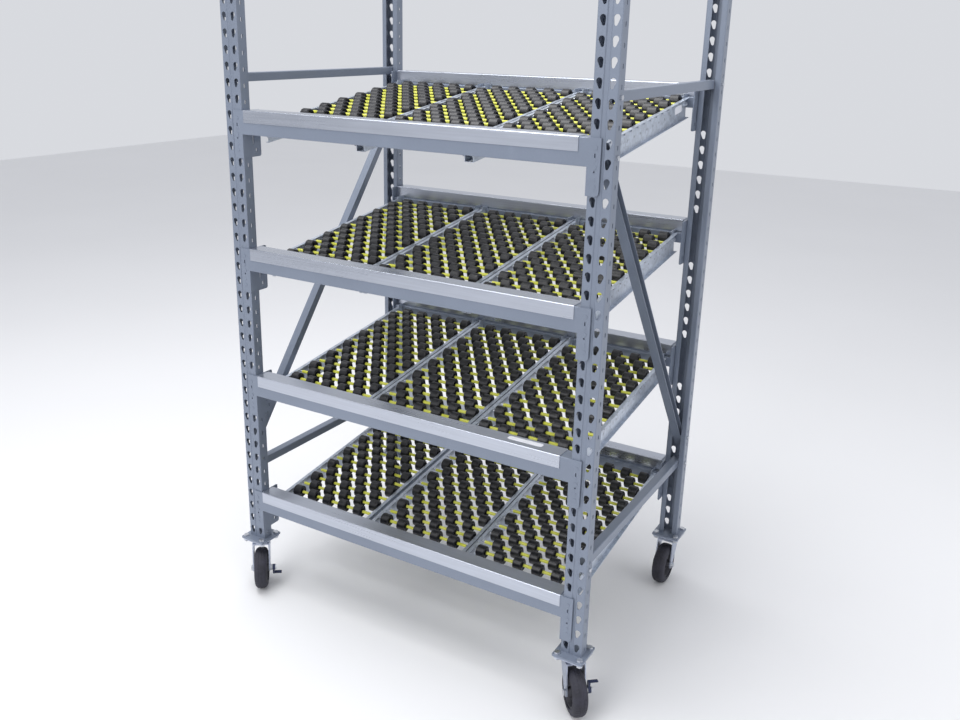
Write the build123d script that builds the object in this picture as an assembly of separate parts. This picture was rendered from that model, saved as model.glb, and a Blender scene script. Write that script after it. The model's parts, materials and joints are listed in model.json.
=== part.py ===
from build123d import *
import os
from math import atan2, ceil, cos, degrees, floor, hypot, sin

os.makedirs("parts", exist_ok=True)

# Mobile gravity-flow rack: four perforated posts on casters carry four sloping roller levels.
# Millimetres, +Z up, floor at z = 0, loading side at -Y. The frame is drawn centred on the
# Z axis and set down at the end, so that the origin lies under the middle of the whole
# object, whose casters stand out to one side.
set_down = Location((-18, 24, 0))

# Overall sizes
clear_width = 1224.0
frame_depth = 914.4
post_height = 2133.6

# Inner radius of the folds in sheet steel
bend_radius = 1.0

# Posts: a folded channel, holes in the outer face, open towards the middle of the rack
post_width = 70.0
post_depth = 41.3
post_wall = 2.0
post_opening = 32.0
groove_half = 8.0
groove_depth = 2.5
hole_pitch = 50.8
first_hole_top = 41.2
hole_column = 19.05
hole_top_radius = 8.5
hole_low_radius = 4.75
hole_height = 27.7
hole_low_shift = 2.5
side_slot_drop = 23.0
side_slot_long = 14.0
side_slot_wide = 6.0

# Levels, counted from the floor: the hole beside which each front beam ends at the top
level_holes = (3, 12, 21, 30)
beam_above_hole = 2.0
back_rise_holes = 2

# Beams, stepped on the inner side to carry the lanes
beam_height = 76.2
beam_depth = 73.0
beam_top_depth = 54.0
step_drop = 41.3
beam_wall = 1.8
beam_corner = 2.4

# Beam connectors: bent plates, hooked into the posts with three studs each
connector_height = 152.4
connector_wall = 4.0
connector_cover = 34.0
connector_depth = 79.0
connector_corner = 12.0
stud_radius = 4.5
stud_head_radius = 7.0
stud_head_high = 2.5
stud_face_high = 1.0

# Guard strips: bright angles along the beams
strip_wall = 2.0
strip_flange = 38.0
strip_cover = 57.0
strip_gaps = ((4.0, 5.0), (10.0, 31.0), (6.0, 12.0), (8.0, 26.0))
back_strip_gap = 8.0

# Lanes: channel rails with the flanges outwards
lane_count = 3
lane_inner = 364.0
rail_flange = 13.0
rail_height = 66.0
rail_wall = 1.5
lane_pitch = 394.0
lane_shift = 5.0
low_lane_shift = -10.0
end_gap = 0.6

# Rollers and spacers, threaded in turn on cross axles, one to a cell; each row starts with
# the other kind from the row before, so that the rollers are staggered
row_count = 14
row_pitch = 50.8
first_row = 70.0
axle_drop = 6.0
cells = 10
cell_length = 35.0
cell_shift = 4.5
roller_radius = 22.0
tread_length = 27.0
hub_end_radius = 10.0
roller_length = 34.2
roller_edge = 1.5
spacer_radius = 5.3
axle_radius = 3.0
running_gap = 0.05

# Hook plates and bolts that hold the lanes on the beam steps
hook_wall = 2.0
hook_reach = 16.5
hook_back = 28.5
hook_rise = 10.0
hook_drop = 48.0
lane_bolt_radius = 4.0
lane_bolt_drop = 22.0
lane_bolt_in = 16.5

# Struts: channels whose ends sit inside the posts
strut_width = 30.0
strut_height = 28.0
strut_wall = 2.0
strut_inset = 8.0
strut_slots = (5, 32, 40)
diagonal_low_slot = 7
diagonal_high_slot = 29
strut_bolt_radius = 4.0

# Foot plates, caster plates and their corner bolts
foot_side = 101.6
foot_thick = 6.35
plate_side = 98.0
plate_thick = 5.0
corner_bolt = 38.1
corner_bolt_radius = 5.0
bolt_gap = 0.2

# Casters
caster_height = 190.5
wheel_radius = 76.2
wheel_width = 48.0
trail = 38.0
hub_radius = 50.0
swivel_gap = 0.5
race_radius = 32.0
race_high = 7.5
crown_top = 174.0
crown_thick = 6.0
kingpin_radius = 6.0
leg_gap = 3.5
leg_wall = 4.0
wheel_axle_radius = 6.0
lever_length = 30.0
lever_tab = 22.0
headings = {"front_left": -52, "front_right": -48, "back_left": -60, "back_right": -90}
lever_angles = {"front_left": 200, "front_right": 0}

post_z = caster_height + foot_thick
hole_count = floor((post_height - first_hole_top - 30) / hole_pitch) + 1
half_x = clear_width / 2
front_y = -frame_depth / 2
turn_round = Location((0, 0, 0), (0, 0, 180))
rise = back_rise_holes * hole_pitch
lane_width = lane_inner + 2 * rail_flange
spacer_length = cell_length - 0.2


def hole_top(number):
    """Height of the top of a post's hole, counted from the lowest one."""
    return post_z + first_hole_top + hole_pitch * number


def between_slots(number):
    """Height half way between a side slot and the next one up."""
    return hole_top(number) - side_slot_drop + hole_pitch / 2


def beam_top(level):
    """Height of the top of a level's front beam."""
    return hole_top(level_holes[level]) + beam_above_hole


def flat(outline):
    """A flat face from its corners."""
    return Polygon(*outline, align=None)


def rounded(face, corner, radius):
    """A flat face with the corner nearest to a point rounded."""
    spot = Vector(*corner)
    return fillet(min(face.vertices(), key=lambda v: (Vector(v) - spot).length), radius)


def folded(path, wall, radius=bend_radius):
    """Section of a sheet folded along a path, the wall to its left, or right if negative."""
    steps = [(b[0] - a[0], b[1] - a[1]) for a, b in zip(path, path[1:])]
    sides = [(-dy / hypot(dx, dy), dx / hypot(dx, dy)) for dx, dy in steps]
    ends = zip([sides[0]] + sides, sides + [sides[-1]])
    other = []
    for (x, y), (a, b) in zip(path, ends):
        grow = wall / (1 + a[0] * b[0] + a[1] * b[1])
        other.append((x + grow * (a[0] + b[0]), y + grow * (a[1] + b[1])))
    face = flat(path + other[::-1])
    for near_side, far_side, (ax, ay), (bx, by) in zip(path[1:], other[1:], steps, steps[1:]):
        wall_inside = (ax * by - ay * bx) * wall > 0
        inner, outer = (far_side, near_side) if wall_inside else (near_side, far_side)
        if radius:
            face = rounded(face, inner, radius)
            face = rounded(face, outer, radius + abs(wall))
    return face


def pulled(face, plane, length):
    """A flat face on a plane, pulled along the plane's normal."""
    return extrude(plane * face, amount=length, dir=plane.z_dir)


def bar_x(face, start, length):
    """A face in Y and Z, pulled along X."""
    return pulled(face, Plane((start, 0, 0), x_dir=(0, 1, 0), z_dir=(1, 0, 0)), length)


def rod_x(radius, start, length, y, z):
    """A round rod along X."""
    base = Plane((start, y, z), x_dir=(0, 1, 0), z_dir=(1, 0, 0))
    return extrude(base * Circle(radius), amount=length, dir=(1, 0, 0))


def ring_x(outer, inner, start, length, y, z):
    """A round tube along X."""
    base = Plane((start, y, z), x_dir=(0, 1, 0), z_dir=(1, 0, 0))
    return extrude(base * (Circle(outer) - Circle(inner)), amount=length, dir=(1, 0, 0))


def hexagon_x(across, start, length, y, z):
    """A bolt head or nut along X."""
    base = Plane((start, y, z), x_dir=(0, 1, 0), z_dir=(1, 0, 0))
    sides = RegularPolygon(across / 2, 6, major_radius=False)
    return extrude(base * sides, amount=length, dir=(1, 0, 0))


def near(shape, point):
    """The edge whose middle is nearest to a point."""
    return min(shape.edges(), key=lambda edge: (edge.center() - Vector(*point)).length)


def mirrored_x(shape):
    return mirror(shape, about=Plane.YZ)


def save(node, solids):
    """Writes one node, set down over the origin."""
    placed = [set_down * solid for shape in solids for solid in shape.solids()]
    export_step(Compound(placed), f"parts/{node}.step")


# --- Posts -----------------------------------------------------------------------------

half_post = post_width / 2
post_path = [
    (-post_opening / 2, post_depth),
    (-half_post, post_depth),
    (-half_post, 0),
    (-groove_half, 0),
    (-groove_half + groove_depth, groove_depth),
    (groove_half - groove_depth, groove_depth),
    (groove_half, 0),
    (half_post, 0),
    (half_post, post_depth),
    (post_opening / 2, post_depth),
]
plain_post = pulled(folded(post_path, post_wall), Plane.XY.offset(post_z), post_height)


def teardrop(side):
    """Cutter for one post hole, its narrow foot drawn in towards the post's middle."""
    base = Plane((0, -1, 0), x_dir=(1, 0, 0), z_dir=(0, -1, 0))
    low_z = hole_low_radius - hole_height
    top = Pos(side * hole_column, -hole_top_radius) * Circle(hole_top_radius)
    foot = Pos(side * (hole_column - hole_low_shift), low_z) * Circle(hole_low_radius)
    outline = make_hull(top.edges() + foot.edges())
    return extrude(base * outline, amount=post_wall + 1.5, dir=(0, 1, 0))


slot_plane = Plane((-half_post - 1, post_depth / 2, 0), x_dir=(0, 1, 0), z_dir=(1, 0, 0))
slot_shape = SlotOverall(side_slot_long, side_slot_wide, rotation=90)
slot_cutter = extrude(slot_plane * slot_shape, amount=post_width + 2, dir=(1, 0, 0))
cutters = []
for hole in range(hole_count):
    cutters += [Pos(0, 0, hole_top(hole)) * teardrop(side) for side in (-1, 1)]
    cutters.append(Pos(0, 0, hole_top(hole) - side_slot_drop) * slot_cutter)
punched_post = plain_post - cutters


def post_with(diagonal_slot, side):
    """A front post, with holes in one side for the bolts of the struts and of a diagonal."""
    start = min(0, side * (half_post + 1))
    holes = [
        rod_x(strut_bolt_radius + bolt_gap, start, half_post + 1, post_depth / 2, z)
        for z in [between_slots(slot) for slot in strut_slots + (diagonal_slot,)]
    ]
    return Pos(0, front_y, 0) * (punched_post - holes)


low_post = post_with(diagonal_low_slot, -1)
high_post = post_with(diagonal_high_slot, 1)
post_x = half_x + half_post
save("post_front_left", [Pos(-post_x, 0, 0) * low_post])
save("post_front_right", [Pos(post_x, 0, 0) * high_post])
save("post_back_left", [Pos(-post_x, 0, 0) * (turn_round * high_post)])
save("post_back_right", [Pos(post_x, 0, 0) * (turn_round * low_post)])

# --- Beams, connectors, studs and guard strips ------------------------------------------

beam_outline = [
    (-connector_wall, 0),
    (beam_top_depth - connector_wall, 0),
    (beam_top_depth - connector_wall, -step_drop),
    (beam_depth - connector_wall, -step_drop),
    (beam_depth - connector_wall, -beam_height),
    (-connector_wall, -beam_height),
]
shifts = ((1, -1), (-1, -1), (-1, -1), (-1, -1), (-1, 1), (1, 1))
beam_hollow = [
    (y + beam_wall * a, z + beam_wall * b) for (y, z), (a, b) in zip(beam_outline, shifts)
]
beam_half = half_x - connector_wall
beam_section = fillet(flat(beam_outline).vertices(), beam_corner)
beam_section -= fillet(flat(beam_hollow).vertices(), beam_corner / 4)
beam = bar_x(beam_section, -beam_half, 2 * beam_half)

# The connector is drawn for a right-hand front post, its post side at x = 0.
connector_outline = [
    (-connector_wall, -connector_wall),
    (connector_cover, -connector_wall),
    (connector_cover, 0),
    (0, 0),
    (0, connector_depth),
    (-connector_wall, connector_depth),
]
connector = pulled(
    flat(connector_outline), Plane.XY.offset(-connector_height), connector_height
)
outer_corner = near(connector, (connector_cover, -connector_wall / 2, -connector_height))
connector = fillet(outer_corner, connector_corner)
deep_corner = near(connector, (-connector_wall / 2, connector_depth, -connector_height))
connector = fillet(deep_corner, 8)
top_corner = near(connector, (-connector_wall / 2, connector_depth, 0))
connector = fillet(top_corner, 4)
column_x = half_post - hole_column
stud_x = column_x + hole_low_shift
stud_z = beam_above_hole + hole_height - hole_low_radius
stud_drops = [stud_z + hole_pitch * row for row in range(3)]


def hole_y(radius, x, z, start, length):
    """A round cutter or pin along Y."""
    base = Plane((x, start, z), x_dir=(1, 0, 0), z_dir=(0, -1, 0))
    return extrude(base * Circle(radius), amount=length, dir=(0, 1, 0))


def slot_cut(normal_x, place, long, wide):
    """An upright slot through a connector's front or deep flange."""
    if normal_x:
        base = Plane(place, x_dir=(0, 1, 0), z_dir=(1, 0, 0))
    else:
        base = Plane(place, x_dir=(1, 0, 0), z_dir=(0, -1, 0))
    shape = SlotOverall(long, wide, rotation=90)
    return extrude(base * shape, amount=connector_wall + 2, both=True)


connector -= [hole_y(stud_radius, stud_x, -drop, -connector_wall - 1, 6) for drop in stud_drops]
connector -= slot_cut(False, (stud_x, -connector_wall / 2, -0.3 * connector_height), 12, 4.5)
connector -= hole_y(3, stud_x, -0.58 * connector_height, -connector_wall - 1, 6)
deep_x = -connector_wall / 2
connector -= slot_cut(True, (deep_x, post_depth + 3.5, -beam_height - 18), 34, 5)
connector -= slot_cut(True, (deep_x, post_depth + 16, 22 - connector_height), 14, 6)

studs = []
for drop in stud_drops:
    shank_length = connector_wall + post_wall
    shank = hole_y(stud_radius, stud_x, -drop, -connector_wall, shank_length)
    head = hole_y(stud_head_radius, stud_x, -drop, post_wall, stud_head_high)
    face = hole_y(6, stud_x, -drop, -connector_wall - stud_face_high, stud_face_high)
    studs.append(shank + head + face)


def four_corners(shape, level):
    """Copies of a right-hand front piece at both ends of a level's two beams."""
    right = Pos(half_x, front_y, beam_top(level)) * shape
    left = mirrored_x(right)
    pair = [right, left]
    return pair + [Pos(0, 0, rise) * (turn_round * piece) for piece in pair]


connectors = []
stud_set = []
for level in range(4):
    front = Pos(0, front_y, beam_top(level)) * beam
    save(f"beams_{level + 1}", [front, Pos(0, 0, rise) * (turn_round * front)])
    connectors += four_corners(connector, level)
    for stud in studs:
        stud_set += four_corners(stud, level)
save("beam_connectors", connectors)
save("connector_studs", stud_set)

front_strip = folded(
    [
        (-connector_wall, -strip_flange),
        (-connector_wall, 0),
        (strip_cover - connector_wall - strip_wall, 0),
    ],
    strip_wall,
)
inner_face = beam_top_depth - connector_wall
back_strip = folded([(-connector_wall, 0), (inner_face, 0), (inner_face, -strip_flange)], strip_wall)
strips = []
for level, (left_gap, right_gap) in enumerate(strip_gaps):
    length = 2 * beam_half - left_gap - right_gap
    strip = bar_x(front_strip, left_gap - beam_half, length)
    strips.append(Pos(0, front_y, beam_top(level)) * strip)
    strip = bar_x(back_strip, back_strip_gap - beam_half, 2 * (beam_half - back_strip_gap))
    placed = turn_round * (Pos(0, front_y, beam_top(level)) * strip)
    strips.append(Pos(0, 0, rise) * placed)
save("guard_strips", strips)

# --- Lanes ------------------------------------------------------------------------------

step_y = front_y + beam_depth - connector_wall
slope = atan2(rise, -2 * step_y)
rail_start = step_y + end_gap
foot_swing = rail_height * sin(slope)
rail_length = (-2 * rail_start - foot_swing) / cos(slope)


def on_slope(level, x):
    """Place of a rail's top front corner, turned up along the level's slope."""
    place = (x, rail_start, beam_top(level) - step_drop)
    return Location(place, (degrees(slope), 0, 0))


def along_slope(y, z):
    """A point in Y and Z, from the rail's top front corner, in the rail's own directions."""
    return (y * cos(slope) + z * sin(slope), z * cos(slope) - y * sin(slope))


rail_path = [(0, 0), (rail_flange, 0), (rail_flange, -rail_height), (0, -rail_height)]
rail_section = folded(rail_path, -rail_wall, radius=0)
rail_plane = Plane((0, rail_length, 0), x_dir=(1, 0, 0), z_dir=(0, -1, 0))
rail = pulled(rail_section, rail_plane, rail_length)
row_places = [first_row + row_pitch * row for row in range(row_count)]
bolt_front = (lane_bolt_in, -lane_bolt_drop)
bolt_back = (-2 * rail_start - lane_bolt_in, rise - lane_bolt_drop)
rail -= [rod_x(axle_radius, -1, rail_flange + 2, place, -axle_drop) for place in row_places]
rail -= [
    rod_x(lane_bolt_radius + bolt_gap, -1, rail_flange + 2, *along_slope(*place))
    for place in (bolt_front, bolt_back)
]
right_rail = Pos(lane_width, 0, 0) * mirrored_x(rail)

axle = rod_x(axle_radius, 0, lane_width, 0, 0)
bore = axle_radius + running_gap
roller = ring_x(roller_radius, bore, -tread_length / 2, tread_length, 0, 0)
rims = roller.edges().filter_by(GeomType.CIRCLE).group_by(SortBy.RADIUS)[-1]
roller = chamfer(rims, roller_edge)
roller += ring_x(hub_end_radius, bore, -roller_length / 2, roller_length, 0, 0)
spacer = ring_x(spacer_radius, bore, -spacer_length / 2, spacer_length, 0, 0)

hook_outline = [
    (-hook_reach - end_gap, 0),
    (-hook_reach - end_gap, hook_rise),
    (hook_back, hook_rise),
    (hook_back, -hook_drop),
    (0, -hook_drop),
    (0, 0),
]
hook = bar_x(flat(hook_outline), rail_flange, hook_wall)
hook -= rod_x(lane_bolt_radius + bolt_gap, rail_flange - 1, hook_wall + 2, *bolt_front)
web_x = rail_flange - rail_wall
lane_bolt = rod_x(lane_bolt_radius, web_x - 9, rail_wall + hook_wall + 9, *bolt_front)
lane_bolt += hexagon_x(13, web_x - 6.5, 6.5, *bolt_front)
lane_bolt += hexagon_x(13, rail_flange + hook_wall, 5, *bolt_front)


def lane_x(level, lane):
    """Left edge of a lane."""
    middle = lane_shift + lane_pitch * (lane - (lane_count - 1) / 2)
    moved = low_lane_shift if (level, lane) == (0, 0) else 0
    return middle - lane_width / 2 + moved


hooks = []
lane_bolts = []
for level in range(4):
    rails = []
    axles = []
    rollers = []
    spacers = []
    front_rollers = []
    for lane in range(lane_count):
        place = on_slope(level, lane_x(level, lane))
        rails += [place * rail, place * right_rail]
        front = Pos(lane_x(level, lane), rail_start, beam_top(level) - step_drop)
        for piece, group in ((hook, hooks), (lane_bolt, lane_bolts)):
            pair = [piece, Pos(lane_width, 0, 0) * mirrored_x(piece)]
            for one in pair:
                group.append(front * one)
                far = Pos(0, -2 * rail_start, rise) * mirror(one, about=Plane.XZ)
                group.append(front * far)
        for row, along in enumerate(row_places):
            axle_place = place * Pos(0, along, -axle_drop)
            axles.append(axle_place * axle)
            row_rollers = rollers if row else front_rollers
            for cell in range(cells):
                x = lane_width / 2 + cell_shift + cell_length * (cell + 0.5 - cells / 2)
                if (row + cell) % 2:
                    spacers.append(axle_place * Pos(x, 0, 0) * spacer)
                else:
                    row_rollers.append(axle_place * Pos(x, 0, 0) * roller)
    save(f"lane_rails_{level + 1}", rails)
    save(f"axles_{level + 1}", axles)
    save(f"rollers_{level + 1}", rollers)
    save(f"spacers_{level + 1}", spacers)
    save(f"front_rollers_{level + 1}", front_rollers)
save("lane_hooks", hooks)
save("lane_bolts", lane_bolts)

# --- Struts -----------------------------------------------------------------------------

strut_section = [
    (-strut_width / 2, -strut_height / 2),
    (-strut_width / 2, strut_height / 2),
    (strut_width / 2, strut_height / 2),
    (strut_width / 2, -strut_height / 2),
]
strut_outline = folded(strut_section, -strut_wall)
bolt_y = frame_depth / 2 - post_depth / 2
strut_end = frame_depth / 2 - strut_inset
bolt_hole = rod_x(strut_bolt_radius + bolt_gap, -strut_width, 2 * strut_width, 0, 0)

level_plane = Plane((0, strut_end, 0), x_dir=(1, 0, 0), z_dir=(0, -1, 0))
strut = pulled(strut_outline, level_plane, 2 * strut_end)
strut -= [Pos(0, y, 0) * bolt_hole for y in (-bolt_y, bolt_y)]

low_z = between_slots(diagonal_low_slot)
high_z = between_slots(diagonal_high_slot)
tilt = atan2(high_z - low_z, 2 * bolt_y)
reach = hypot(high_z - low_z, 2 * bolt_y) + 200
tilt_plane = Plane(
    (0, reach / 2 * cos(tilt), (low_z + high_z) / 2 + reach / 2 * sin(tilt)),
    x_dir=(1, 0, 0),
    z_dir=(0, -cos(tilt), -sin(tilt)),
)
diagonal = pulled(strut_outline, tilt_plane, reach)
diagonal -= [Pos(0, -bolt_y, low_z) * bolt_hole, Pos(0, bolt_y, high_z) * bolt_hole]
diagonal &= Box(2 * strut_width, 2 * strut_end, 4 * post_height)

# Each bolt goes in through the post's outer side, its nut on the strut inside the post.
nut_x = strut_width / 2
strut_bolt = rod_x(strut_bolt_radius, -half_post, half_post + nut_x + 9, 0, 0)
strut_bolt += hexagon_x(13, -half_post - 5, 5, 0, 0)
strut_bolt += hexagon_x(13, nut_x, 6.5, 0, 0)

strut_set = []
bolts = []
for side, bolt in ((-1, strut_bolt), (1, mirrored_x(strut_bolt))):
    for slot in strut_slots:
        z = between_slots(slot)
        strut_set.append(Pos(side * post_x, 0, z) * strut)
        bolts += [Pos(side * post_x, y, z) * bolt for y in (-bolt_y, bolt_y)]
    bolts.append(Pos(side * post_x, side * bolt_y, low_z) * bolt)
    bolts.append(Pos(side * post_x, -side * bolt_y, high_z) * bolt)
save("side_struts", strut_set)
save("diagonal_struts", [Pos(-post_x, 0, 0) * diagonal, Pos(post_x, 0, 0) * turn_round * diagonal])
save("strut_bolts", bolts)

# --- Foot plates, caster plates and corner bolts -----------------------------------------

feet = {
    "front_left": (-post_x, -bolt_y),
    "front_right": (post_x, -bolt_y),
    "back_left": (-post_x, bolt_y),
    "back_right": (post_x, bolt_y),
}
corners = [(x, y) for x in (-corner_bolt, corner_bolt) for y in (-corner_bolt, corner_bolt)]


def drilled_plate(side, thick, top, corner):
    """A square plate with four corner holes, its top at a height."""
    outline = RectangleRounded(side, side, corner)
    outline -= [Pos(x, y) * Circle(corner_bolt_radius + bolt_gap) for x, y in corners]
    return Pos(0, 0, top - thick) * extrude(outline, amount=thick, dir=(0, 0, 1))


def post_of(radius, low, high):
    """A round upright of a caster."""
    return Pos(0, 0, low) * extrude(Circle(radius), amount=high - low, dir=(0, 0, 1))


plate_low = caster_height - plate_thick
race_low = plate_low - race_high
pin_low = crown_top - crown_thick - swivel_gap
foot_plate = drilled_plate(foot_side, foot_thick, post_z, 3)
caster_plate = drilled_plate(plate_side, plate_thick, caster_height, 8)
caster_plate += post_of(race_radius, race_low, plate_low)
caster_plate += post_of(kingpin_radius, pin_low - 1, plate_low)
caster_plate += post_of(11, pin_low - 6, pin_low)

stack = foot_thick + plate_thick
corner_set = Pos(0, 0, plate_low - 10) * extrude(
    Circle(corner_bolt_radius), amount=stack + 10, dir=(0, 0, 1)
)
hexagon = RegularPolygon(8.5, 6, major_radius=False)
corner_set += Pos(0, 0, post_z) * extrude(hexagon, amount=6.4, dir=(0, 0, 1))
corner_set += Pos(0, 0, plate_low - 8) * extrude(hexagon, amount=8, dir=(0, 0, 1))
save("foot_plates", [Pos(x, y, 0) * foot_plate for x, y in feet.values()])
save("caster_plates", [Pos(x, y, 0) * caster_plate for x, y in feet.values()])
save(
    "caster_bolts",
    [Pos(x + a, y + b, 0) * corner_set for x, y in feet.values() for a, b in corners],
)

# --- Casters, drawn with the wheel trailing towards +X -----------------------------------

leg_in = wheel_width / 2 + leg_gap
leg_out = leg_in + leg_wall


def turned(outline):
    """A solid of revolution about the wheel's axle, from radius and side position."""
    face = Plane((0, 0, 0), x_dir=(0, 1, 0), z_dir=(1, 0, 0)) * flat(outline)
    return Pos(trail, 0, wheel_radius) * revolve(face, axis=Axis.Y)


def rod_y(radius, start, length):
    """A round piece on the wheel's axle."""
    base = Plane((trail, start, wheel_radius), x_dir=(1, 0, 0), z_dir=(0, -1, 0))
    return extrude(base * Circle(radius), amount=length, dir=(0, 1, 0))


leg_outline = [
    (-30, crown_top),
    (34, crown_top),
    (trail + 14, wheel_radius),
    (trail - 14, wheel_radius),
]
leg_plane = Plane((0, 0, 0), x_dir=(1, 0, 0), z_dir=(0, -1, 0))
leg_face = flat(leg_outline) + Pos(trail, wheel_radius) * Circle(14)
leg = Pos(0, leg_in, 0) * extrude(leg_plane * leg_face, amount=leg_wall, dir=(0, 1, 0))
crown = Pos(2, 0, crown_top - crown_thick / 2) * Box(64, 2 * leg_in, crown_thick)
fork = crown + leg + mirror(leg, about=Plane.XZ)
fork += post_of(race_radius, crown_top - crown_thick, race_low - swivel_gap)
fork -= post_of(kingpin_radius + running_gap, 0, caster_height)
fork -= rod_y(wheel_axle_radius, -leg_out - 1, 2 * leg_out + 2)

half_width = wheel_width / 2
tyre_outline = [
    (-0.80 * half_width, hub_radius),
    (-0.97 * half_width, hub_radius + 0.30 * (wheel_radius - hub_radius)),
    (-half_width, hub_radius + 0.55 * (wheel_radius - hub_radius)),
    (-0.92 * half_width, wheel_radius - 5.5),
    (-0.70 * half_width, wheel_radius - 1.8),
    (-0.35 * half_width, wheel_radius),
]
tyre_outline += [(-y, r) for y, r in reversed(tyre_outline)]
tyre = turned(tyre_outline)
boss_half = leg_in - swivel_gap
bore_radius = wheel_axle_radius + running_gap
rim_half = 0.80 * half_width
hub_outline = [
    (-boss_half, bore_radius),
    (-boss_half, 15),
    (-6, 18),
    (-6, hub_radius - 8),
    (-rim_half, hub_radius - 5),
    (-rim_half, hub_radius),
]
hub_outline += [(-y, r) for y, r in reversed(hub_outline)]
hub = turned(hub_outline)


def wheel_axle(end):
    """Axle bolt with a head on one side, a nut on the other and an end of some length."""
    rod = rod_y(wheel_axle_radius, -leg_out, 2 * leg_out + end)
    sides = RegularPolygon(9.5, 6, major_radius=False)
    for start, high in ((-leg_out - 7, 7), (leg_out, 8)):
        base = Plane((trail, start, wheel_radius), x_dir=(1, 0, 0), z_dir=(0, -1, 0))
        rod += extrude(base * sides, amount=high, dir=(0, 1, 0))
    return rod


lever_start = leg_out + 8 + swivel_gap
lever_wide = 10.0
cap_start = lever_start + lever_wide + swivel_gap
long_axle = wheel_axle(cap_start - leg_out) + rod_y(9, cap_start, 4)
short_axle = wheel_axle(10)
arm = Pos(trail, lever_start + 3, wheel_radius + lever_length / 2) * Box(16, 6, lever_length)
lever_face = lever_start + lever_wide + lever_tab
tab = Pos(trail, (lever_start + lever_face) / 2, wheel_radius + lever_length)
lever = rod_y(11, lever_start, lever_wide) + arm + tab * Box(12, lever_face - lever_start, 3)
lever -= rod_y(bore_radius, 0, lever_face)

for name, (x, y) in feet.items():
    place = Location((x, y, 0), (0, 0, headings[name]))
    braked = name in lever_angles
    save(f"fork_{name}", [place * fork])
    save(f"wheel_axle_{name}", [place * (long_axle if braked else short_axle)])
    save(f"tyre_{name}", [place * tyre])
    save(f"hub_{name}", [place * hub])
    if braked:
        swing = Pos(trail, 0, wheel_radius) * Rot(0, lever_angles[name], 0)
        turned_lever = swing * (Pos(-trail, 0, -wheel_radius) * lever)
        save(f"brake_lever_{name}", [place * turned_lever])
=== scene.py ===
import json

import bmesh
import bpy
import numpy as np
from bpy.props import FloatProperty, FloatVectorProperty, IntProperty, PointerProperty
from mathutils import Matrix


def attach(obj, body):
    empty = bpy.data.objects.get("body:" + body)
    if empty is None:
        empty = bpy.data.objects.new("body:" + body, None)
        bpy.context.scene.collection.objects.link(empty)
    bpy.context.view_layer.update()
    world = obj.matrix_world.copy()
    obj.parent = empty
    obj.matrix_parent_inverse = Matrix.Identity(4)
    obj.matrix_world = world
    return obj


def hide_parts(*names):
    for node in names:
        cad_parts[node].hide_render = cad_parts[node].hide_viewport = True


bl_info = {
    "name": "Mobile flow rack",
    "version": (1, 0, 0),
    "blender": (4, 5, 0),
    "location": "3D View > Sidebar > Flow Rack",
    "description": "Dresses the steel flow rack on casters with its rollers, tyres and finishes",
    "category": "Object",
}

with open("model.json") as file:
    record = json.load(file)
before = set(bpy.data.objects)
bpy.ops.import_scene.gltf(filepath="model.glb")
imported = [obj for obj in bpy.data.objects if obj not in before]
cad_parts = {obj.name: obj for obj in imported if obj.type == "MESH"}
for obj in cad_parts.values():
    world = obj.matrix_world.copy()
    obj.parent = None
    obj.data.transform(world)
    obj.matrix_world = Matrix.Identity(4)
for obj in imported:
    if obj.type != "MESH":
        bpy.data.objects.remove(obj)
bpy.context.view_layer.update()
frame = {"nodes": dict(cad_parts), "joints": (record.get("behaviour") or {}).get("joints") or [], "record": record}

LEVELS = (1, 2, 3, 4)
CORNERS = ("front_left", "front_right", "back_left", "back_right")

# Rollers, in metres: the bore round the axle, and the two roundings beside the tread.
ROLLER_BORE = 0.0033
SHOULDER_WIDTH = 0.004
SHOULDER_RADIUS_SHARE = 0.8
TREAD_EDGE = 0.003

# The pressed ovals of the beam connectors: half sizes, height, how deep their foot sits
# behind the studs' faces, and how far below a stud they lie as a share of the stud pitch.
OVAL_HALF_X = 0.0042
OVAL_HALF_Z = 0.0050
OVAL_HEIGHT = 0.0009
OVAL_SINK = 0.001
OVAL_DROP_SHARE = 0.62

# The two blank labels: half sizes, thickness and places.
LABEL_THICKNESS = 0.0003
STRIP_LABEL_HALF = (0.058, 0.0115)
STRIP_LABEL_X = 0.429
STRIP_LABEL_SETBACK = 0.035
STRIP_THICKNESS = 0.002
RAIL_LABEL_HALF = (0.033, 0.012)
RAIL_LABEL_Y = 0.335
RAIL_LABEL_DROP = 0.036

# The stage: floor, light and camera.
FLOOR_HALF = 12.0
FLOOR_POINTS = 9
FLOOR_DARK = (0.80, 0.80, 0.81)
FLOOR_PALE = (0.84, 0.84, 0.85)
SKY_COLOUR = (0.93, 0.95, 1.0, 1.0)
SKY_STRENGTH = 0.74
SENSOR_WIDTH = 36.0
FOCAL_LENGTH = 35.12475
LENS_SHIFT = (0.02133, -0.02987)
CAMERA_PLACE = (1.58903, -2.71181, 2.02278)
CAMERA_YAW, CAMERA_PITCH, CAMERA_ROLL = -0.5446, 0.3111, 0.0170


# --- Shader arithmetic -----------------------------------------------------------------


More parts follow.
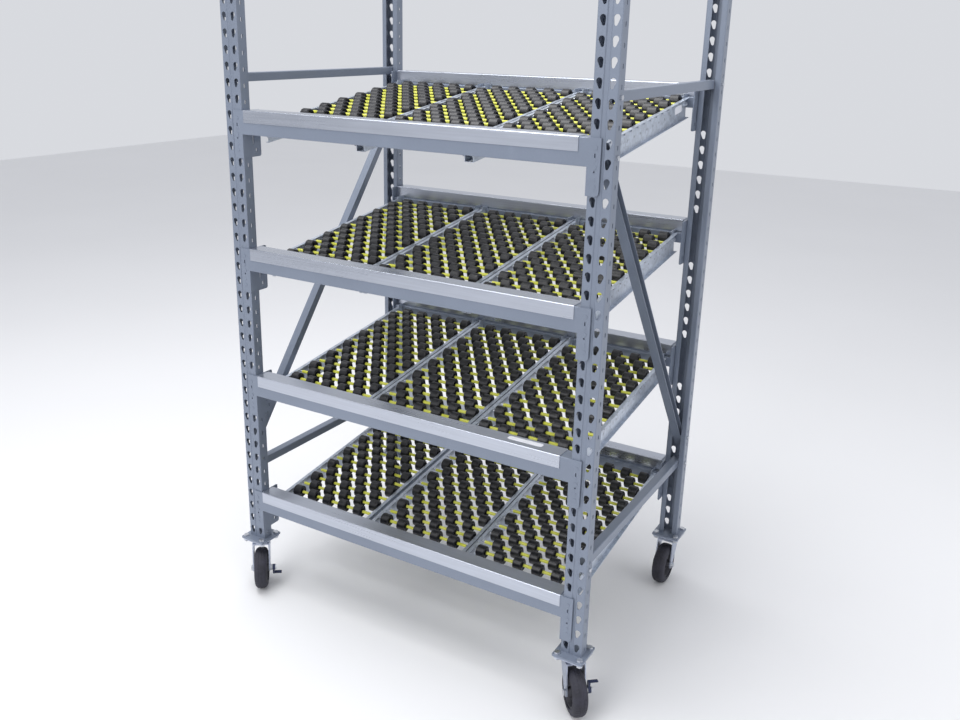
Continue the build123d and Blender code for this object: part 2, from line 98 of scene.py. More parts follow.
class Term:
    """A value that varies over a surface. Arithmetic on it adds Math nodes to its material."""

    def __init__(self, finish, socket):
        self.finish = finish
        self.socket = socket

    def math(self, operation, *others, first=None):
        """One Math node: this value, then the others, unless first takes the first place."""
        node = self.finish.tree.nodes.new("ShaderNodeMath")
        node.operation = operation
        values = (self, *others) if first is None else (first, self, *others)
        for slot, value in zip(node.inputs, values):
            self.finish.feed(slot, value)
        return Term(self.finish, node.outputs[0])

    def __add__(self, other):
        return self.math("ADD", other)

    __radd__ = __add__

    def __mul__(self, other):
        return self.math("MULTIPLY", other)

    __rmul__ = __mul__

    def __sub__(self, other):
        return self.math("SUBTRACT", other)

    def __rsub__(self, other):
        return self.math("SUBTRACT", first=other)

    def __truediv__(self, other):
        return self.math("DIVIDE", other)

    def root(self):
        return self.math("SQRT")

    def modulo(self, period):
        return self.math("FLOORED_MODULO", period)

    def least(self, other):
        return self.math("MINIMUM", other)

    def most(self, other):
        return self.math("MAXIMUM", other)

    def ramp(self, low, high):
        """0 at low and 1 at high, held at both ends."""
        return ((self - low) / (high - low)).least(1.0).most(0.0)


class Finish:
    """A material being made: one principled shader and the nodes that feed it."""

    def __init__(self, name, colour, roughness, metallic=0.0, **fixed):
        self.material = bpy.data.materials.new(name)
        self.material.use_nodes = True
        self.tree = self.material.node_tree
        self.shader = self.tree.nodes["Principled BSDF"]
        self.material.diffuse_color = (*colour, 1.0)
        self.put("Base Color", colour)
        self.put("Roughness", roughness)
        self.put("Metallic", metallic)
        for socket, value in fixed.items():
            self.put(socket.replace("_", " "), value)
        self.place = self.node("ShaderNodeTexCoord", out="Object")

    def feed(self, slot, value):
        """Links a varying value to a socket, or sets a plain one on it."""
        if isinstance(value, Term):
            self.tree.links.new(value.socket, slot)
        elif isinstance(value, (tuple, list)):
            width = len(slot.default_value)
            slot.default_value = (*value, 1.0)[:width]
        else:
            slot.default_value = value

    def put(self, socket, value):
        self.feed(self.shader.inputs[socket], value)

    def node(self, kind, settings=None, values=None, out=0):
        """Any node: its type, its settings, the values or links of its inputs, one output."""
        node = self.tree.nodes.new(kind)
        for name, value in (settings or {}).items():
            setattr(node, name, value)
        for name, value in (values or {}).items():
            self.feed(node.inputs[name], value)
        return Term(self, node.outputs[out])

    def axes(self):
        """The three parts of the surface's own place."""
        node = self.tree.nodes.new("ShaderNodeSeparateXYZ")
        self.feed(node.inputs[0], self.place)
        return [Term(self, one) for one in node.outputs]

    def stretched(self, scale):
        """The surface's own place, stretched along each axis."""
        values = {"Vector": self.place, "Scale": scale}
        return self.node("ShaderNodeMapping", values=values)

    def noise(self, scale, detail, place=None, roughness=0.55):
        """Clouds of 0 to 1, over the surface's own place or a stretched one."""
        values = {
            "Vector": place or self.place,
            "Scale": scale,
            "Detail": detail,
            "Roughness": roughness,
        }
        return self.node("ShaderNodeTexNoise", values=values)

    def cells(self, scale):
        """A random colour for each cell of the surface."""
        values = {"Vector": self.place, "Scale": scale}
        return self.node("ShaderNodeTexVoronoi", {"feature": "F1"}, values, "Color")

    def blend(self, factor, low, high):
        """A colour between two others."""
        node = self.tree.nodes.new("ShaderNodeMix")
        node.data_type = "RGBA"
        self.feed(node.inputs["Factor"], factor)
        self.feed(node.inputs[6], low)
        self.feed(node.inputs[7], high)
        return Term(self, node.outputs[2])

    def relief(self, height, distance, strength):
        """Bumps the surface by a height of 0 to 1, distance being the metres of 1."""
        values = {"Height": height, "Distance": distance, "Strength": strength}
        self.put("Normal", self.node("ShaderNodeBump", values=values))


def shade(colour, factor):
    """A colour made darker or brighter."""
    return tuple(min(1.0, part * factor) for part in colour)


def coated_steel(name, colour):
    """Smooth baked coating: slow drifts in colour, fine orange peel, a few scuffs."""
    finish = Finish(name, colour, 0.4, 0.25, Coat_Weight=0.15, Coat_Roughness=0.25)
    drift = finish.noise(2.3, 4.0)
    grain = finish.noise(420.0, 2.0)
    scuff = finish.noise(9.0, 8.0, finish.stretched((1.0, 1.0, 0.25)), 0.7).ramp(0.60, 0.75)
    tone = (drift * 0.7 + grain * 0.3).ramp(0.3, 0.7)
    base = finish.blend(tone, shade(colour, 0.90), shade(colour, 1.10))
    finish.put("Base Color", finish.blend(scuff * 0.35, base, shade(colour, 1.3)))
    finish.put("Roughness", 0.32 + 0.16 * drift + 0.12 * scuff)
    finish.relief(grain * 0.6 + drift * 0.4, 0.00012, 0.5)
    return finish.material


def zinc_sheet(name, colour, roughness=0.36, dimples=None):
    """Rolled zinc: crystal flakes that differ a little in tone and gloss, faint roll lines.
    Dimples, if any, are pressed in rows along the lanes' slope, one row for each level, and their colour is
    darkened as painted shade in each dent: their slope, start and top at the first axle, the levels' rise, depth,
    pitch, radius."""
    finish = Finish(name, colour, roughness, 0.75)
    flakes = finish.cells(95.0)
    bright = finish.node("ShaderNodeSeparateColor", values={"Color": flakes}, out=0)
    cloud = finish.noise(5.0, 5.0)
    lines = finish.noise(60.0, 3.0, finish.stretched((12.0, 0.4, 12.0)))
    tone = (bright * 0.35 + cloud * 0.4 + lines * 0.25).ramp(0.25, 0.75)
    base = finish.blend(tone, shade(colour, 0.80), shade(colour, 1.16))
    finish.put("Roughness", roughness - 0.07 + 0.14 * bright + 0.08 * cloud)
    if dimples is None:
        finish.put("Base Color", base)
        finish.relief(bright * 0.5 + lines * 0.5, 0.00010, 0.4)
        return finish.material
    slope, start, top, rise, depth, pitch, radius = dimples
    _, y, z = finish.axes()
    along = (y - start) * np.cos(slope) + (z - top) * np.sin(slope)
    over = (z - top) * np.cos(slope) - (y - start) * np.sin(slope)
    step = rise * np.cos(slope)
    across = (over + depth + step / 2).modulo(step) - step / 2
    beside = along.modulo(pitch) - pitch / 2
    spot = 1.0 - ((across * across + beside * beside).root() / radius).ramp(0.55, 1.0)
    # Painted shade: each dimple's colour is darkened towards shade(colour, 0.35), standing in for the shadow in
    # the dent; the relief below makes the real dent.
    finish.put("Base Color", finish.blend(spot * 0.6, base, shade(colour, 0.35)))
    finish.relief(bright * 0.03 + lines * 0.03 - spot, 0.0012, 0.6)
    return finish.material


def bright_strip(name, colour):
    """Drawn bright strip: fine lines along its length, soft smears from handling."""
    finish = Finish(name, colour, 0.24, 0.9)
    lines = finish.noise(220.0, 3.0, finish.stretched((0.02, 1.0, 1.0)))
    smear = finish.noise(4.0, 6.0, finish.stretched((0.5, 2.0, 2.0)))
    tone = (lines * 0.4 + smear * 0.6).ramp(0.3, 0.7)
    finish.put("Base Color", finish.blend(tone, shade(colour, 0.86), shade(colour, 1.1)))
    finish.put("Roughness", 0.16 + 0.18 * smear + 0.08 * lines)
    finish.relief(lines, 0.00006, 0.35)
    return finish.material


def plated_steel(name, colour):
    """Plated fasteners: bright, with small clouds and a trace of dulling."""
    finish = Finish(name, colour, 0.28, 0.9)
    cloud = finish.noise(60.0, 4.0)
    finish.put("Base Color", finish.blend(cloud, shade(colour, 0.8), shade(colour, 1.1)))
    finish.put("Roughness", 0.2 + 0.2 * cloud)
    finish.relief(finish.noise(900.0, 2.0), 0.00005, 0.3)
    return finish.material


def black_plastic(name, colour):
    """Moulded roller plastic: dusty haze, fine scratches round the tread."""
    finish = Finish(name, colour, 0.38, 0.0, Specular_IOR_Level=0.55)
    haze = finish.noise(14.0, 5.0)
    scratch = finish.noise(180.0, 4.0, finish.stretched((4.0, 0.5, 0.5)))
    dust = (haze * 0.6 + scratch * 0.4).ramp(0.42, 0.72)
    finish.put("Base Color", finish.blend(dust, colour, shade(colour, 2.4)))
    finish.put("Roughness", 0.20 + 0.20 * haze + 0.12 * scratch)
    finish.relief(scratch, 0.00008, 0.4)
    return finish.material


def yellow_plastic(name, colour, pale):
    """Extruded spacer tube: paler patches and faint length lines."""
    finish = Finish(name, colour, 0.42, 0.0)
    patch = finish.noise(11.0, 4.0)
    lines = finish.noise(300.0, 2.0, finish.stretched((0.05, 1.0, 1.0)))
    tone = (patch * 0.7 + lines * 0.3).ramp(0.35, 0.65)
    finish.put("Base Color", finish.blend(tone, colour, pale))
    finish.put("Roughness", 0.34 + 0.2 * patch)
    finish.relief(lines, 0.00006, 0.3)
    return finish.material


def tyre_rubber(name, colour):
    """Grey-black rubber: floor dust on the tread, fine pebbled grain."""
    finish = Finish(name, colour, 0.7, 0.0)
    dust = finish.noise(28.0, 6.0)
    grain = finish.noise(520.0, 3.0)
    tone = (dust * 0.7 + grain * 0.3).ramp(0.38, 0.7)
    finish.put("Base Color", finish.blend(tone, shade(colour, 0.7), shade(colour, 1.9)))
    finish.put("Roughness", 0.55 + 0.25 * dust)
    finish.relief(grain, 0.0003, 0.6)
    return finish.material


def plain_plastic(name, colour):
    """Moulded core or blank label stock: faint cloud and fine texture."""
    finish = Finish(name, colour, 0.5, 0.0)
    cloud = finish.noise(35.0, 4.0)
    finish.put("Base Color", finish.blend(cloud, shade(colour, 0.85), shade(colour, 1.12)))
    finish.put("Roughness", 0.42 + 0.18 * cloud)
    finish.relief(finish.noise(700.0, 2.0), 0.00008, 0.4)
    return finish.material


# --- Mesh helpers ----------------------------------------------------------------------


def lattice(rows, columns, wrap_rows=False, wrap_columns=False, start=0):
    """Quads of a grid of points numbered row by row, joined round where it wraps."""
    i = np.arange(rows if wrap_rows else rows - 1)
    j = np.arange(columns if wrap_columns else columns - 1)
    i, j = np.meshgrid(i, j, indexing="ij")
    ni, nj = (i + 1) % rows, (j + 1) % columns
    corners = [i * columns + j, ni * columns + j, ni * columns + nj, i * columns + nj]
    return start + np.stack(corners, axis=-1).reshape(-1, 4)


def piece(name, points, quads, body, material, sharp=35.0):
    """A mesh object at the origin, smooth but for its sharp edges, riding on a body."""
    mesh = bpy.data.meshes.new(name)
    points = np.asarray(points, dtype=np.float64).reshape(-1, 3)
    faces = quads if isinstance(quads, list) else quads.tolist()
    mesh.from_pydata(points.tolist(), [], faces)
    mesh.validate()
    mesh.shade_smooth()
    mesh.set_sharp_from_angle(angle=np.radians(sharp))
    mesh.materials.append(material)
    thing = bpy.data.objects.new(name, mesh)
    bpy.context.scene.collection.objects.link(thing)
    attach(thing, body)
    return thing


def many(shape, quads, places):
    """One shape's points and quads, repeated at every place."""
    shape = np.asarray(shape).reshape(-1, 3)
    points = places[:, None, :] + shape[None, :, :]
    shift = np.arange(len(places))[:, None, None] * len(shape)
    return points.reshape(-1, 3), (quads[None, :, :] + shift).reshape(-1, quads.shape[1])


def node_vertices(node):
    """A CAD node's points, one row each."""
    mesh = frame["nodes"][node].data
    flat = np.empty(len(mesh.vertices) * 3)
    mesh.vertices.foreach_get("co", flat)
    return flat.reshape(-1, 3)


def lumps(node):
    """The points of each separate solid of a CAD node, told apart by the faces they share."""
    mesh = frame["nodes"][node].data
    points = node_vertices(node)
    corner = np.empty(len(mesh.loops), dtype=np.int64)
    mesh.loops.foreach_get("vertex_index", corner)
    keys = np.round(points * 1e5).astype(np.int64)
    _, same = np.unique(keys, axis=0, return_inverse=True)
    same = same.reshape(-1)
    faces = same[corner.reshape(-1, 3)]
    label = np.arange(same.max() + 1)
    while True:
        low = label[faces].min(axis=1)
        fresh = label.copy()
        for k in range(3):
            np.minimum.at(fresh, faces[:, k], low)
        fresh = fresh[fresh]
        if (fresh == label).all():
            break
        label = fresh
    group = label[same]
    names = np.unique(group)
    return [points[group == one] for one in names]


def end_points(points, band=0.02):
    """The points within a band of the front end, and those within one of the back end."""
    y = points[:, 1]
    return points[y < y.min() + band], points[y > y.max() - band]


def turn_outward(thing):
    """Recalculates a closed mesh's face directions, so that they all point out."""
    mesh = bmesh.new()
    mesh.from_mesh(thing.data)
    bmesh.ops.recalc_face_normals(mesh, faces=mesh.faces)
    mesh.to_mesh(thing.data)
    mesh.free()


def material_of(name):
    return bpy.data.materials[name]


def dress(node, material):
    """Gives a CAD node its finish."""
    slots = frame["nodes"][node].data.materials
    slots.clear()
    slots.append(material)


# --- Settings --------------------------------------------------------------------------


def colour_setting(name, words, default):
    return FloatVectorProperty(
        name=name, description=words, subtype="COLOR", size=3, min=0, max=1, default=default
    )


class FlowRackColours(bpy.types.PropertyGroup):
    steel: colour_setting("Frame", "Coating of posts, beams and struts", (0.205, 0.238, 0.305))
    zinc: colour_setting("Lanes", "Zinc sheet of the lane rails", (0.56, 0.61, 0.69))
    strip: colour_setting("Guard strips", "Bright angles along the beams", (0.50, 0.53, 0.60))
    plated: colour_setting("Fasteners", "Bolts, axles and studs", (0.62, 0.64, 0.68))
    caster: colour_setting("Casters", "Plated forks and plates", (0.44, 0.48, 0.58))
    roller: colour_setting("Rollers", "Black roller plastic", (0.004, 0.004, 0.006))
    spacer: colour_setting("Spacers", "Yellow spacer plastic", (0.62, 0.64, 0.04))
    spacer_pale: colour_setting("Spacers, pale", "Paler patches", (0.74, 0.74, 0.14))
    tyre: colour_setting("Tyres", "Wheel rubber", (0.020, 0.020, 0.030))
    hub: colour_setting("Hubs", "Moulded wheel cores", (0.05, 0.05, 0.06))
    lever: colour_setting("Brake levers", "Coated levers", (0.02, 0.03, 0.08))
    label: colour_setting("Labels", "Blank label stock", (0.80, 0.81, 0.86))


class FlowRackSizes(bpy.types.PropertyGroup):
    tread_depth: FloatProperty(
        name="Tread depth", description="Depth of the tyre's grooves", default=0.0012, unit="LENGTH"
    )
    tread_blocks: IntProperty(
        name="Tread blocks", description="Blocks round each tyre", default=44, min=8
    )
    dimple_radius: FloatProperty(
        name="Rail dimple", description="Radius of the rails' pressed dimples", default=0.0045,
        unit="LENGTH",
    )
    dimple_pitch: FloatProperty(
        name="Dimple pitch", description="Distance between dimples", default=0.0508,
        unit="LENGTH",
    )
    dimple_drop: FloatProperty(
        name="Dimple drop", description="Depth of the dimples below the axles", default=0.028,
        unit="LENGTH",
    )
    stud_pitch: FloatProperty(
        name="Stud pitch", description="Distance between a connector's studs", default=0.0508,
        unit="LENGTH",
    )
    strut_wall: FloatProperty(
        name="Strut wall", description="Sheet thickness of the diagonals", default=0.002,
        unit="LENGTH",
    )
    tread_half: FloatProperty(
        name="Roller tread", description="Half the width of a roller's tread", default=0.0168,
        unit="LENGTH",
    )
    hub_radius: FloatProperty(
        name="Roller hub", description="Radius of a roller's hub ends", default=0.010,
        unit="LENGTH",
    )


def sizes():
    return bpy.context.scene.flow_rack_sizes


def colours():
    return bpy.context.scene.flow_rack_colours


# --- Operators -------------------------------------------------------------------------


class FLOWRACK_OT_finishes(bpy.types.Operator):
    """Makes the finishes and gives every carried-over steel part its own"""

    bl_idname = "flow_rack.finishes"
    bl_label = "Finishes"

    def execute(self, context):
        tint = colours()
        steel = coated_steel("Coated steel", tuple(tint.steel))
        row = next(j for j in frame["joints"] if j["name"] == "roller_row_1")
        low, high = node_vertices("beams_1"), node_vertices("beams_2")
        rise = high[:, 2].min() - low[:, 2].min()
        front, back = end_points(node_vertices("lane_rails_1"))
        slope = np.arctan2(
            back[:, 2].max() - front[:, 2].max(), back[:, 1].mean() - front[:, 1].mean()
        )
        pitch, radius = sizes().dimple_pitch, sizes().dimple_radius
        _, start, top = row["pos_m"]
        dimples = (slope, start, top, rise, sizes().dimple_drop, pitch, radius)
        zinc = zinc_sheet("Zinc sheet", tuple(tint.zinc), dimples=dimples)
        strip = bright_strip("Bright strip", tuple(tint.strip))
        plated = plated_steel("Plated steel", tuple(tint.plated))
        caster = zinc_sheet("Caster plating", tuple(tint.caster), 0.30)
        roller = black_plastic("Roller plastic", tuple(tint.roller))
        spacer = yellow_plastic("Spacer plastic", tuple(tint.spacer), tuple(tint.spacer_pale))
        tyre_rubber("Tyre rubber", tuple(tint.tyre))
        hub = plain_plastic("Hub plastic", tuple(tint.hub))
        lever = coated_steel("Lever coating", tuple(tint.lever))
        plain_plastic("Label stock", tuple(tint.label))
        by_slot = {
            "frame_steel": steel,
            "lane_steel": zinc,
            "guard_strip": strip,
            "bright_steel": plated,
            "caster_steel": caster,
            "roller": roller,
            "spacer": spacer,
            "tyre": material_of("Tyre rubber"),
            "wheel_hub": hub,
            "brake_lever": lever,
        }
        for part in frame["record"]["subparts"]:
            dress(part["node"], by_slot[part["material_slot"]])
        return {"FINISHED"}


def roller_shape(radius, half, tread, hub, turns=12):
    """A roller about the X axis: its profile, from hub end over tread to hub end, turned
    round the axis. Point (i, j) is profile point j at angle i."""
    end = np.array(
        [
            [half, ROLLER_BORE], [half, hub], [tread - SHOULDER_WIDTH, hub],
            [tread, SHOULDER_RADIUS_SHARE * radius], [tread - TREAD_EDGE, radius],
        ]
    )
    along = np.concatenate([-end[:, 0], end[::-1, 0]])
    reach = np.concatenate([end[:, 1], end[::-1, 1]])
    angle = np.linspace(0, 2 * np.pi, turns, endpoint=False)[:, None]
    x = np.broadcast_to(along, (turns, len(along)))
    points = np.stack([x, reach * np.cos(angle), reach * np.sin(angle)], axis=-1)
    return points, lattice(turns, len(along), wrap_rows=True, wrap_columns=True)


class FLOWRACK_OT_rollers(bpy.types.Operator):
    """Makes the rollers of every level: hollow ends, rounded edges and a plain tread"""

    bl_idname = "flow_rack.rollers"
    bl_label = "Rollers"

    def execute(self, context):
        for level in LEVELS:
            for node, body in (
                (f"rollers_{level}", "frame"),
                (f"front_rollers_{level}", f"roller_row_{level}"),
            ):
                solids = lumps(node)
                lows = np.array([one.min(axis=0) for one in solids])
                highs = np.array([one.max(axis=0) for one in solids])
                half = (highs[:, 0] - lows[:, 0]).mean() / 2
                radius = (highs[:, 2] - lows[:, 2]).max() / 2
                shape, quads = roller_shape(radius, half, sizes().tread_half, sizes().hub_radius)
                points, faces = many(shape, quads, (lows + highs) / 2)
                thing = piece(
                    f"Moulded_{node}", points, faces, body, material_of("Roller plastic")
                )
                turn_outward(thing)
                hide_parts(node)
        return {"FINISHED"}


def wheel_frame(corner):
    """A wheel's centre, and its trailing, sideways and upward directions."""
    joint = next(j for j in frame["joints"] if j["name"] == f"wheel_{corner}")
    side = np.array(joint["axis"], dtype=float)
    side /= np.linalg.norm(side)
    up = np.array([0.0, 0.0, 1.0])
    return np.array(joint["pos_m"], dtype=float), np.cross(side, up), side, up


def tyre_shape(radius, inner, half, depth, blocks, turns=176, across=37):
    """Tyre about its own axle. Across the tyre, a is -1 to 1: the outside is a superellipse,
    r = inner + (radius - inner) * (1 - |a| ** 3.2) ** (1 / 2.4). Slanted grooves cut it by a
    sine of the turn and of a, faded out at the shoulders."""
    a = np.linspace(-1, 1, across)[None, :]
    t = np.linspace(0, 2 * np.pi, turns, endpoint=False)[:, None]
    bulge = (1 - np.abs(a) ** 3.2).clip(0) ** (1 / 2.4)
    wave = np.sin(blocks * (t + 0.05 * np.abs(a) * 2))
    groove = np.clip(wave * 3.0 - 1.4, 0, 1) * np.clip((0.85 - np.abs(a)) * 6, 0, 1)
    centre = np.clip(1 - np.abs(np.abs(a) - 0.22) / 0.05, 0, 1)
    cut = depth * np.maximum(groove * np.clip(np.abs(a) * 6 - 1.2, 0, 1), centre)
    r = inner + (radius - inner) * bulge - cut * np.clip(bulge * 3, 0, 1)
    return a * half, t, r


class FLOWRACK_OT_tyres(bpy.types.Operator):
    """Makes the four rubber tyres, with a crowned tread and shallow grooves"""

    bl_idname = "flow_rack.tyres"
    bl_label = "Tyres"

    def execute(self, context):
        for corner in CORNERS:
            centre, ahead, side, up = wheel_frame(corner)
            points = node_vertices(f"tyre_{corner}") - centre
            half = np.abs(points @ side).max()
            reach = np.hypot(points @ ahead, points @ up)
            radius, inner = reach.max(), reach.min()
            across, turn, r = tyre_shape(
                radius, inner + 0.001, half, sizes().tread_depth, sizes().tread_blocks
            )
            across = np.broadcast_to(across, r.shape)
            lip = np.full((len(r), 1), 0.8 * half)
            edge = np.full((len(r), 1), inner)
            across = np.concatenate([-lip, across, lip], axis=1)
            r = np.concatenate([edge, r, edge], axis=1)
            places = (
                centre
                + across[..., None] * side
                + (r * np.cos(turn))[..., None] * ahead
                + (r * np.sin(turn))[..., None] * up
            )
            quads = lattice(*r.shape, wrap_rows=True, wrap_columns=True)
            thing = piece(
                f"Tyre_{corner}", places, quads, f"wheel_{corner}", material_of("Tyre rubber"),
                50.0,
            )
            turn_outward(thing)
            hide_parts(f"tyre_{corner}")
        return {"FINISHED"}


def pad_shape(half_long, half_wide, thick, points=32, power=8):
    """A thin pad lying flat: a superellipse, |x/a| ** power + |y/b| ** power = 1, taken at
    rings of growing size over the top and down the edge, closed by one face above and below."""
    angle = np.linspace(0, 2 * np.pi, points, endpoint=False)
    c, d = np.cos(angle), np.sin(angle)
    reach = (np.abs(c) ** power + np.abs(d) ** power) ** (-1 / power)
    rings = np.array([[0.5, thick], [0.93, thick * 0.97], [1.0, thick * 0.6], [1.0, 0.0]])
    x = rings[:, :1] * reach * c * half_long
    y = rings[:, :1] * reach * d * half_wide
    z = np.broadcast_to(rings[:, 1:], x.shape)
    faces = lattice(len(rings), points, wrap_columns=True).tolist()
    faces.append(list(range(points)))
    faces.append(list(range((len(rings) - 1) * points, len(rings) * points)))
    return np.stack([x, y, z], axis=-1).reshape(-1, 3), faces


class FLOWRACK_OT_connector_ovals(bpy.types.Operator):
    """Makes the small raised ovals pressed into every beam connector, between its studs"""

    bl_idname = "flow_rack.connector_ovals"
    bl_label = "Connector ovals"

    def execute(self, context):
        studs = lumps("connector_studs")
        middles = np.array([(one.min(axis=0) + one.max(axis=0)) / 2 for one in studs])
        outside = np.sign(middles[:, 1] - middles[:, 1].mean())
        shape, quads = pad_shape(OVAL_HALF_X, OVAL_HALF_Z, OVAL_HEIGHT, points=20, power=2)
        points, faces = [], []
        for stud, middle, way in zip(studs, middles, outside):
            same = np.abs(middles[:, :2] - middle[:2]).max(axis=1) < 0.001
            drop = middle[2] - middles[same, 2]
            if not np.any(np.abs(drop - sizes().stud_pitch) < 0.001):
                continue
            face_y = way * (way * stud[:, 1]).max() - way * OVAL_SINK
            place = np.array([middle[0], face_y, middle[2] - OVAL_DROP_SHARE * sizes().stud_pitch])
            flat = np.stack([shape[:, 0], way * shape[:, 2], shape[:, 1]], axis=-1)
            faces += [[corner + len(points) * len(shape) for corner in face] for face in quads]
            points.append(flat + place)
        thing = piece(
            "Connector_ovals", np.concatenate(points), faces, "frame",
            material_of("Coated steel"),
        )
        turn_outward(thing)
        return {"FINISHED"}


class FLOWRACK_OT_diagonals(bpy.types.Operator):
    """Makes the two diagonal channels, each with its open side facing away from the lanes"""

    bl_idname = "flow_rack.diagonals"
    bl_label = "Diagonals"

    def execute(self, context):
        wall = sizes().strut_wall
        points, faces = [], []
        for bar in lumps("diagonal_struts"):
            low, high = bar.min(axis=0), bar.max(axis=0)
            front, back = end_points(bar, 1e-4)
            z0 = (front[:, 2].min() + front[:, 2].max()) / 2
            z1 = (back[:, 2].min() + back[:, 2].max()) / 2
            tilt = np.arctan2(z1 - z0, high[1] - low[1])
            deep = (front[:, 2].max() - front[:, 2].min()) * np.cos(tilt) / 2
            half, middle = (high[0] - low[0]) / 2, (high[0] + low[0]) / 2
            out = np.sign(middle)
            outline = np.array(
                [
                    [half, -deep], [-half, -deep], [-half, deep], [half, deep],
                    [half, deep - wall], [wall - half, deep - wall],
                    [wall - half, wall - deep], [half, wall - deep],
                ]
            )
            count = len(outline)
            start = len(points) * 2 * count
            ends = []
            for y, z in ((low[1], z0), (high[1], z1)):
                x = middle + out * outline[:, 0]
                ends.append(np.stack([x, 0 * x + y, z + outline[:, 1] / np.cos(tilt)], axis=-1))
            points.append(np.stack(ends).reshape(-1, 3))
            faces += lattice(2, count, wrap_columns=True, start=start).tolist()
            faces.append(list(range(start, start + count)))
            faces.append(list(range(start + count, start + 2 * count)))
        thing = piece(
            "Diagonal_channels", np.concatenate(points), faces, "frame",
            material_of("Coated steel"), 20.0,
        )
        turn_outward(thing)
        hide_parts("diagonal_struts")
        return {"FINISHED"}


class FLOWRACK_OT_labels(bpy.types.Operator):
    """Makes the blank labels: one on a guard strip's top, one on the upper right-hand rail"""

    bl_idname = "flow_rack.labels"
    bl_label = "Labels"

    def execute(self, context):
        paper = material_of("Label stock")
        strip = node_vertices("guard_strips")
        beam = node_vertices("beams_2")
        seat = beam[beam[:, 1] < 0, 2].max() + STRIP_THICKNESS
        top = strip[np.abs(strip[:, 2] - seat) < 0.0005, 2].max()
        points, faces = pad_shape(*STRIP_LABEL_HALF, LABEL_THICKNESS)
        spot = np.array([STRIP_LABEL_X, strip[:, 1].min() + STRIP_LABEL_SETBACK, top])
        strip_label = piece("Strip_label", points + spot, faces, "frame", paper)
        turn_outward(strip_label)

        rail = node_vertices("lane_rails_4")
        web = np.unique(np.round(rail[:, 0], 5))[-2:].min()
        front, back = end_points(rail)
        slope = np.arctan2(back[:, 2].max() - front[:, 2].max(), np.ptp(rail[:, 1]))
        points, faces = pad_shape(*RAIL_LABEL_HALF, LABEL_THICKNESS)
        ahead = np.array([0.0, np.cos(slope), np.sin(slope)])
        up = np.array([0.0, -np.sin(slope), np.cos(slope)])
        turn = np.stack([ahead, up, np.array([1.0, 0.0, 0.0])])
        middle = np.array([web, RAIL_LABEL_Y, rail[:, 2].max() - RAIL_LABEL_DROP])
        rail_label = piece("Rail_label", points @ turn + middle, faces, "frame", paper)
        turn_outward(rail_label)
        return {"FINISHED"}


def camera_turn(yaw, pitch, roll):
    """Rotation of a camera that looks along yaw from +Y towards +X and down by pitch."""
    ahead = np.array([np.sin(yaw) * np.cos(pitch), np.cos(yaw) * np.cos(pitch), -np.sin(pitch)])
    right = np.array([np.cos(yaw), -np.sin(yaw), 0.0])
    up = np.cross(right, ahead)
    tilted = np.cos(roll) * right + np.sin(roll) * up
    upright = np.cos(roll) * up - np.sin(roll) * right
    return np.column_stack([tilted, upright, -ahead])


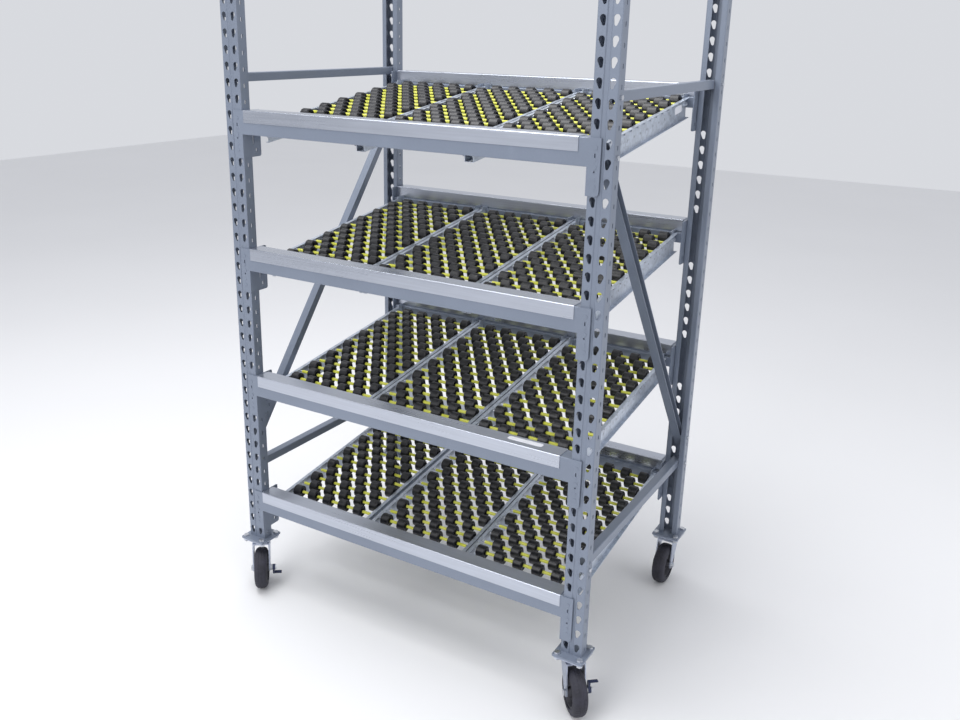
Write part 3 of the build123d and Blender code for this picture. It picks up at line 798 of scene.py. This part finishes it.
class FLOWRACK_OT_stage(bpy.types.Operator):
    """Sets the floor, the soft studio lights, the camera and the plain background"""

    bl_idname = "flow_rack.stage"
    bl_label = "Stage"

    def execute(self, context):
        scene = context.scene
        t = np.linspace(-FLOOR_HALF, FLOOR_HALF, FLOOR_POINTS)
        x, y = np.meshgrid(t, t, indexing="ij")
        points = np.stack([x, y, np.zeros_like(x)], axis=-1)
        floor = bpy.data.meshes.new("Floor")
        quads = lattice(FLOOR_POINTS, FLOOR_POINTS)
        floor.from_pydata(points.reshape(-1, 3).tolist(), [], quads.tolist())
        paint = Finish("Floor paint", FLOOR_DARK, 0.6)
        paint.put("Base Color", paint.blend(paint.noise(0.6, 2.0), FLOOR_DARK, FLOOR_PALE))
        floor.materials.append(paint.material)
        ground = bpy.data.objects.new("Floor", floor)
        scene.collection.objects.link(ground)

        world = bpy.data.worlds.new("Studio")
        world.use_nodes = True
        backdrop = world.node_tree.nodes["Background"]
        backdrop.inputs["Color"].default_value = SKY_COLOUR
        backdrop.inputs["Strength"].default_value = SKY_STRENGTH
        scene.world = world

        for name, place, aim, size, power in (
            ("Key light", (-0.6, -4.6, 4.0), (0.0, 0.0, 1.1), 2.6, 95.0),
            ("Side light", (4.6, -0.4, 2.6), (0.0, 0.0, 1.0), 2.2, 30.0),
            ("Top light", (-1.0, -0.6, 5.0), (0.0, 0.0, 1.0), 3.2, 150.0),
        ):
            lamp = bpy.data.lights.new(name, "AREA")
            lamp.shape = "SQUARE"
            lamp.size = size
            lamp.energy = power
            holder = bpy.data.objects.new(name, lamp)
            back = np.array(place) - np.array(aim)
            back /= np.linalg.norm(back)
            right = np.cross([0.0, 0.0, 1.0], back)
            right /= np.linalg.norm(right)
            turn = np.column_stack([right, np.cross(back, right), back])
            holder.matrix_world = Matrix.Translation(place) @ Matrix(turn.tolist()).to_4x4()
            scene.collection.objects.link(holder)

        lens = bpy.data.cameras.new("Camera")
        lens.sensor_width = SENSOR_WIDTH
        lens.lens = FOCAL_LENGTH
        lens.shift_x, lens.shift_y = LENS_SHIFT
        lens.clip_start = 0.05
        lens.clip_end = 60.0
        camera = bpy.data.objects.new("Camera", lens)
        turn = Matrix(camera_turn(CAMERA_YAW, CAMERA_PITCH, CAMERA_ROLL).tolist())
        camera.matrix_world = Matrix.Translation(CAMERA_PLACE) @ turn.to_4x4()
        scene.collection.objects.link(camera)
        scene.camera = camera
        scene.view_settings.view_transform = "Standard"
        return {"FINISHED"}


class FLOWRACK_PT_panel(bpy.types.Panel):
    """Lists the rack's pieces and their settings"""

    bl_idname = "FLOWRACK_PT_panel"
    bl_label = "Flow Rack"
    bl_space_type = "VIEW_3D"
    bl_region_type = "UI"
    bl_category = "Flow Rack"

    def draw(self, context):
        for step in STEPS:
            self.layout.operator(step.bl_idname)
        for group in (sizes(), colours()):
            for name in group.bl_rna.properties.keys():
                if name not in ("rna_type", "name"):
                    self.layout.prop(group, name)


STEPS = (
    FLOWRACK_OT_finishes,
    FLOWRACK_OT_rollers,
    FLOWRACK_OT_tyres,
    FLOWRACK_OT_connector_ovals,
    FLOWRACK_OT_diagonals,
    FLOWRACK_OT_labels,
    FLOWRACK_OT_stage,
)
CLASSES = (FlowRackColours, FlowRackSizes, *STEPS, FLOWRACK_PT_panel)


def register():
    for one in CLASSES:
        bpy.utils.register_class(one)
    bpy.types.Scene.flow_rack_colours = PointerProperty(type=FlowRackColours)
    bpy.types.Scene.flow_rack_sizes = PointerProperty(type=FlowRackSizes)


def unregister():
    del bpy.types.Scene.flow_rack_sizes
    del bpy.types.Scene.flow_rack_colours
    for one in reversed(CLASSES):
        bpy.utils.unregister_class(one)


def main():
    register()
    for step in STEPS:
        group, name = step.bl_idname.split(".")
        getattr(getattr(bpy.ops, group), name)()


if __name__ == "__main__":
    main()
